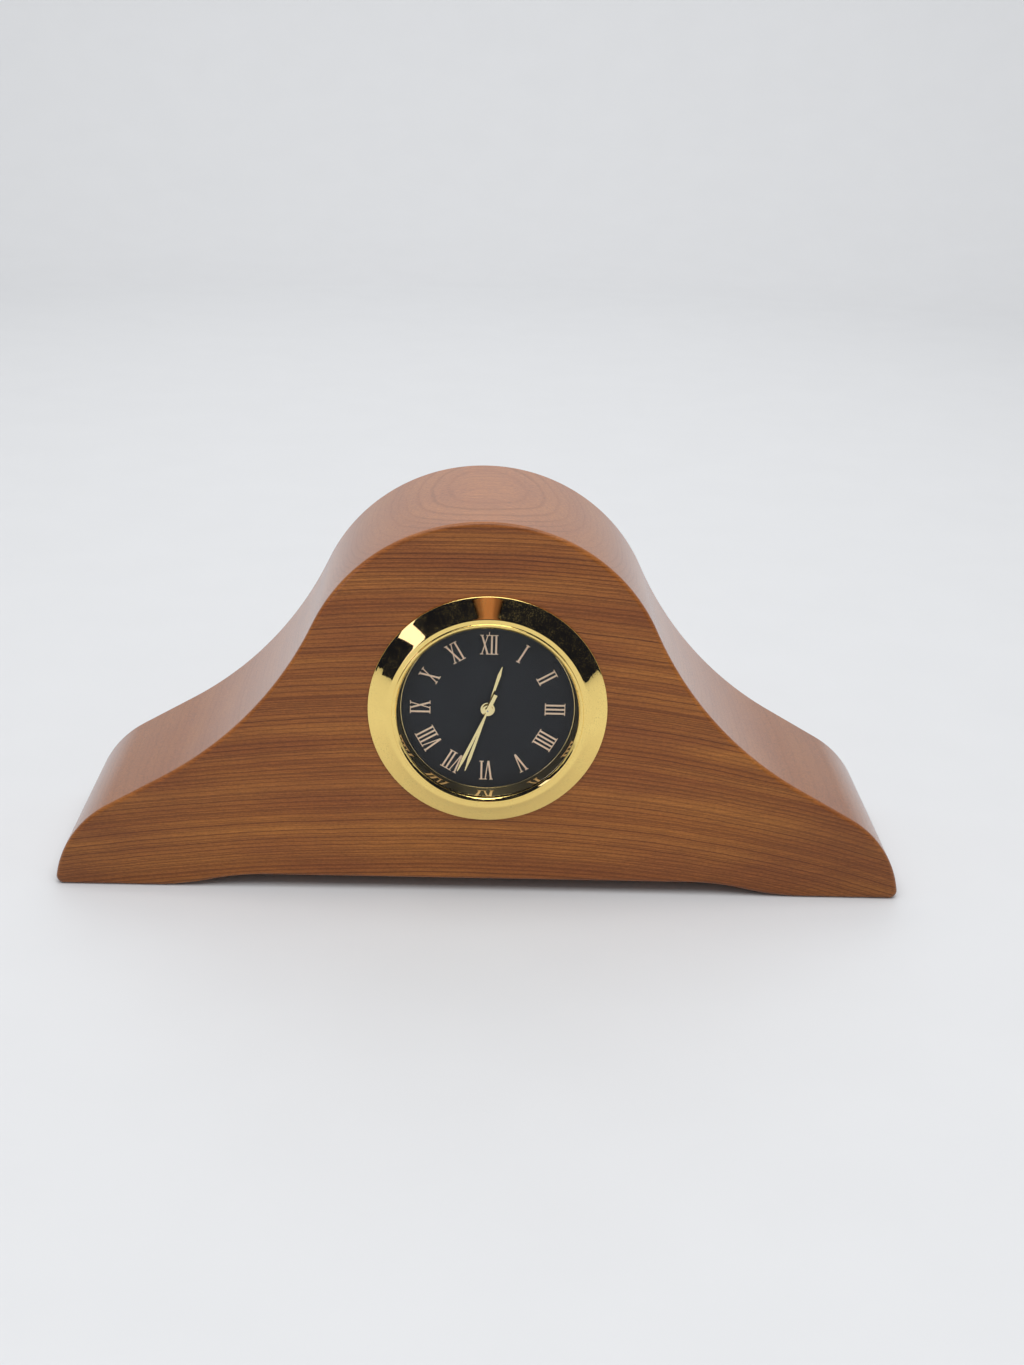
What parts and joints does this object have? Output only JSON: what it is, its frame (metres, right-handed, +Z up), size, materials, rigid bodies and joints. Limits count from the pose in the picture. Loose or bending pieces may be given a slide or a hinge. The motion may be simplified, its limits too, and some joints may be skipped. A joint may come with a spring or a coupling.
{
  "type": "desk clock",
  "caption": "Humped wooden desk clock with an arched base and a push-in quartz insert: gilt bezel, dark dial with Roman numerals, three hands and a complete gear train.",
  "frame": {"origin": "centre of the clock's box on the surface that it stands on", "axes": "+X to the right as seen from the front, +Y from the dial to the back, +Z up"},
  "size_m": [0.1326, 0.0372, 0.0603],
  "materials": {
    "body_wood": "clear satin lacquer on fine horizontal grain",
    "gilt_bezel": "polished gilt",
    "gilt_inner": "polished gilt",
    "lens_glass": "clear flat glass",
    "dial_dark": "satin near-black",
    "dial_ink": "matt gold ink",
    "hand_gilt": "gilt",
    "case_black": "matt moulded",
    "grip_rubber": "matt",
    "holder_white": "matt moulded",
    "plate_grey": "matt moulded",
    "bridge_metal": "brushed",
    "wheel_brass": "fine turned",
    "pinion_steel": "turned",
    "magnet_dark": "ground",
    "stator_iron": "stamped",
    "copper_wire": "enamelled wire",
    "cell_steel": "plated",
    "spring_steel": "stamped",
    "crystal_can": "drawn can",
    "board_green": "solder mask",
    "chip_black": "moulded",
    "screw_steel": "slotted"
  },
  "bodies": {
    "clock_body": {"wooden_body": "body_wood"},
    "insert": {"bezel": "gilt_bezel", "lens": "lens_glass", "dial_ring": "gilt_inner", "dial": "dial_dark", "dial_numerals": "dial_ink", "insert_case": "case_black", "grip_ring": "grip_rubber", "back_cover": "case_black", "movement_holder": "holder_white", "main_plate": "plate_grey", "train_bridge": "bridge_metal", "circuit_board": "board_green", "plate_screws": "screw_steel", "dial_washer": "wheel_brass", "coil_core": "stator_iron", "coil_winding": "copper_wire", "stator": "stator_iron", "button_cell": "cell_steel", "cell_contact": "spring_steel", "cell_clamp": "spring_steel", "quartz_crystal": "crystal_can", "circuit_chip": "chip_black", "lever_cover": "spring_steel"},
    "second_work": {"fourth_wheel": "wheel_brass", "seconds_arbor": "pinion_steel", "second_hand": "hand_gilt"},
    "rotor": {"rotor_pinion": "pinion_steel", "rotor_magnet": "magnet_dark"},
    "fifth_work": {"fifth_wheel": "wheel_brass"},
    "third_work": {"third_wheel": "wheel_brass"},
    "minute_work": {"centre_wheel": "wheel_brass", "cannon_pinion": "pinion_steel", "minute_hand": "hand_gilt"},
    "minute_transfer": {"minute_wheel": "wheel_brass"},
    "hour_work": {"hour_wheel": "wheel_brass", "hour_hand": "hand_gilt"},
    "clutch": {"clutch_pinion": "pinion_steel"},
    "crown_stem": {"setting_stem": "pinion_steel", "crown": "gilt_inner"},
    "lever": {"setting_lever": "spring_steel"}
  },
  "joints": [
    {"name": "insert_pull", "type": "slide", "parent": "clock_body", "child": "insert", "axis": [0, -1, 0], "range_m": [0, 0.012]},
    {"name": "second_turn", "type": "hinge", "parent": "insert", "child": "second_work", "pos_m": [0.0007, -0.01305, 0.0308], "axis": [0, 1, 0], "continuous": true},
    {"name": "rotor_turn", "type": "hinge", "parent": "insert", "child": "rotor", "pos_m": [-0.00429, -0.01305, 0.03325], "axis": [0, 1, 0], "continuous": true},
    {"name": "fifth_turn", "type": "hinge", "parent": "insert", "child": "fifth_work", "pos_m": [-0.00275, -0.01305, 0.03141], "axis": [0, 1, 0], "continuous": true},
    {"name": "third_turn", "type": "hinge", "parent": "insert", "child": "third_work", "pos_m": [0.0023, -0.01305, 0.0338], "axis": [0, 1, 0], "continuous": true},
    {"name": "minute_turn", "type": "hinge", "parent": "insert", "child": "minute_work", "pos_m": [0.0007, -0.01305, 0.0308], "axis": [0, 1, 0], "continuous": true},
    {"name": "minute_wheel_turn", "type": "hinge", "parent": "insert", "child": "minute_transfer", "pos_m": [0.0031, -0.01305, 0.0308], "axis": [0, 1, 0], "continuous": true},
    {"name": "hour_turn", "type": "hinge", "parent": "insert", "child": "hour_work", "pos_m": [0.0007, -0.01305, 0.0308], "axis": [0, 1, 0], "continuous": true},
    {"name": "crown_turn", "type": "hinge", "parent": "insert", "child": "clutch", "pos_m": [0.0057, -0.01355, 0.0308], "axis": [1, 0, 0], "continuous": true},
    {"name": "crown_pull", "type": "slide", "parent": "clutch", "child": "crown_stem", "axis": [1, 0, 0], "range_m": [0, 0.0009]},
    {"name": "lever_swing", "type": "hinge", "parent": "insert", "child": "lever", "pos_m": [0.0088, -0.01305, 0.03387], "axis": [0, 1, 0], "range_deg": [-20.2, 0]}
  ],
  "couplings": [
    {"joint": "rotor_turn", "follows": "second_turn", "ratio": 30},
    {"joint": "fifth_turn", "follows": "second_turn", "ratio": -6},
    {"joint": "third_turn", "follows": "second_turn", "ratio": -0.13333},
    {"joint": "minute_turn", "follows": "second_turn", "ratio": 0.016667},
    {"joint": "minute_wheel_turn", "follows": "second_turn", "ratio": -0.0055556},
    {"joint": "hour_turn", "follows": "second_turn", "ratio": 0.0013889},
    {"joint": "lever_swing", "follows": "crown_pull", "rad_per_m": -391}
  ]
}
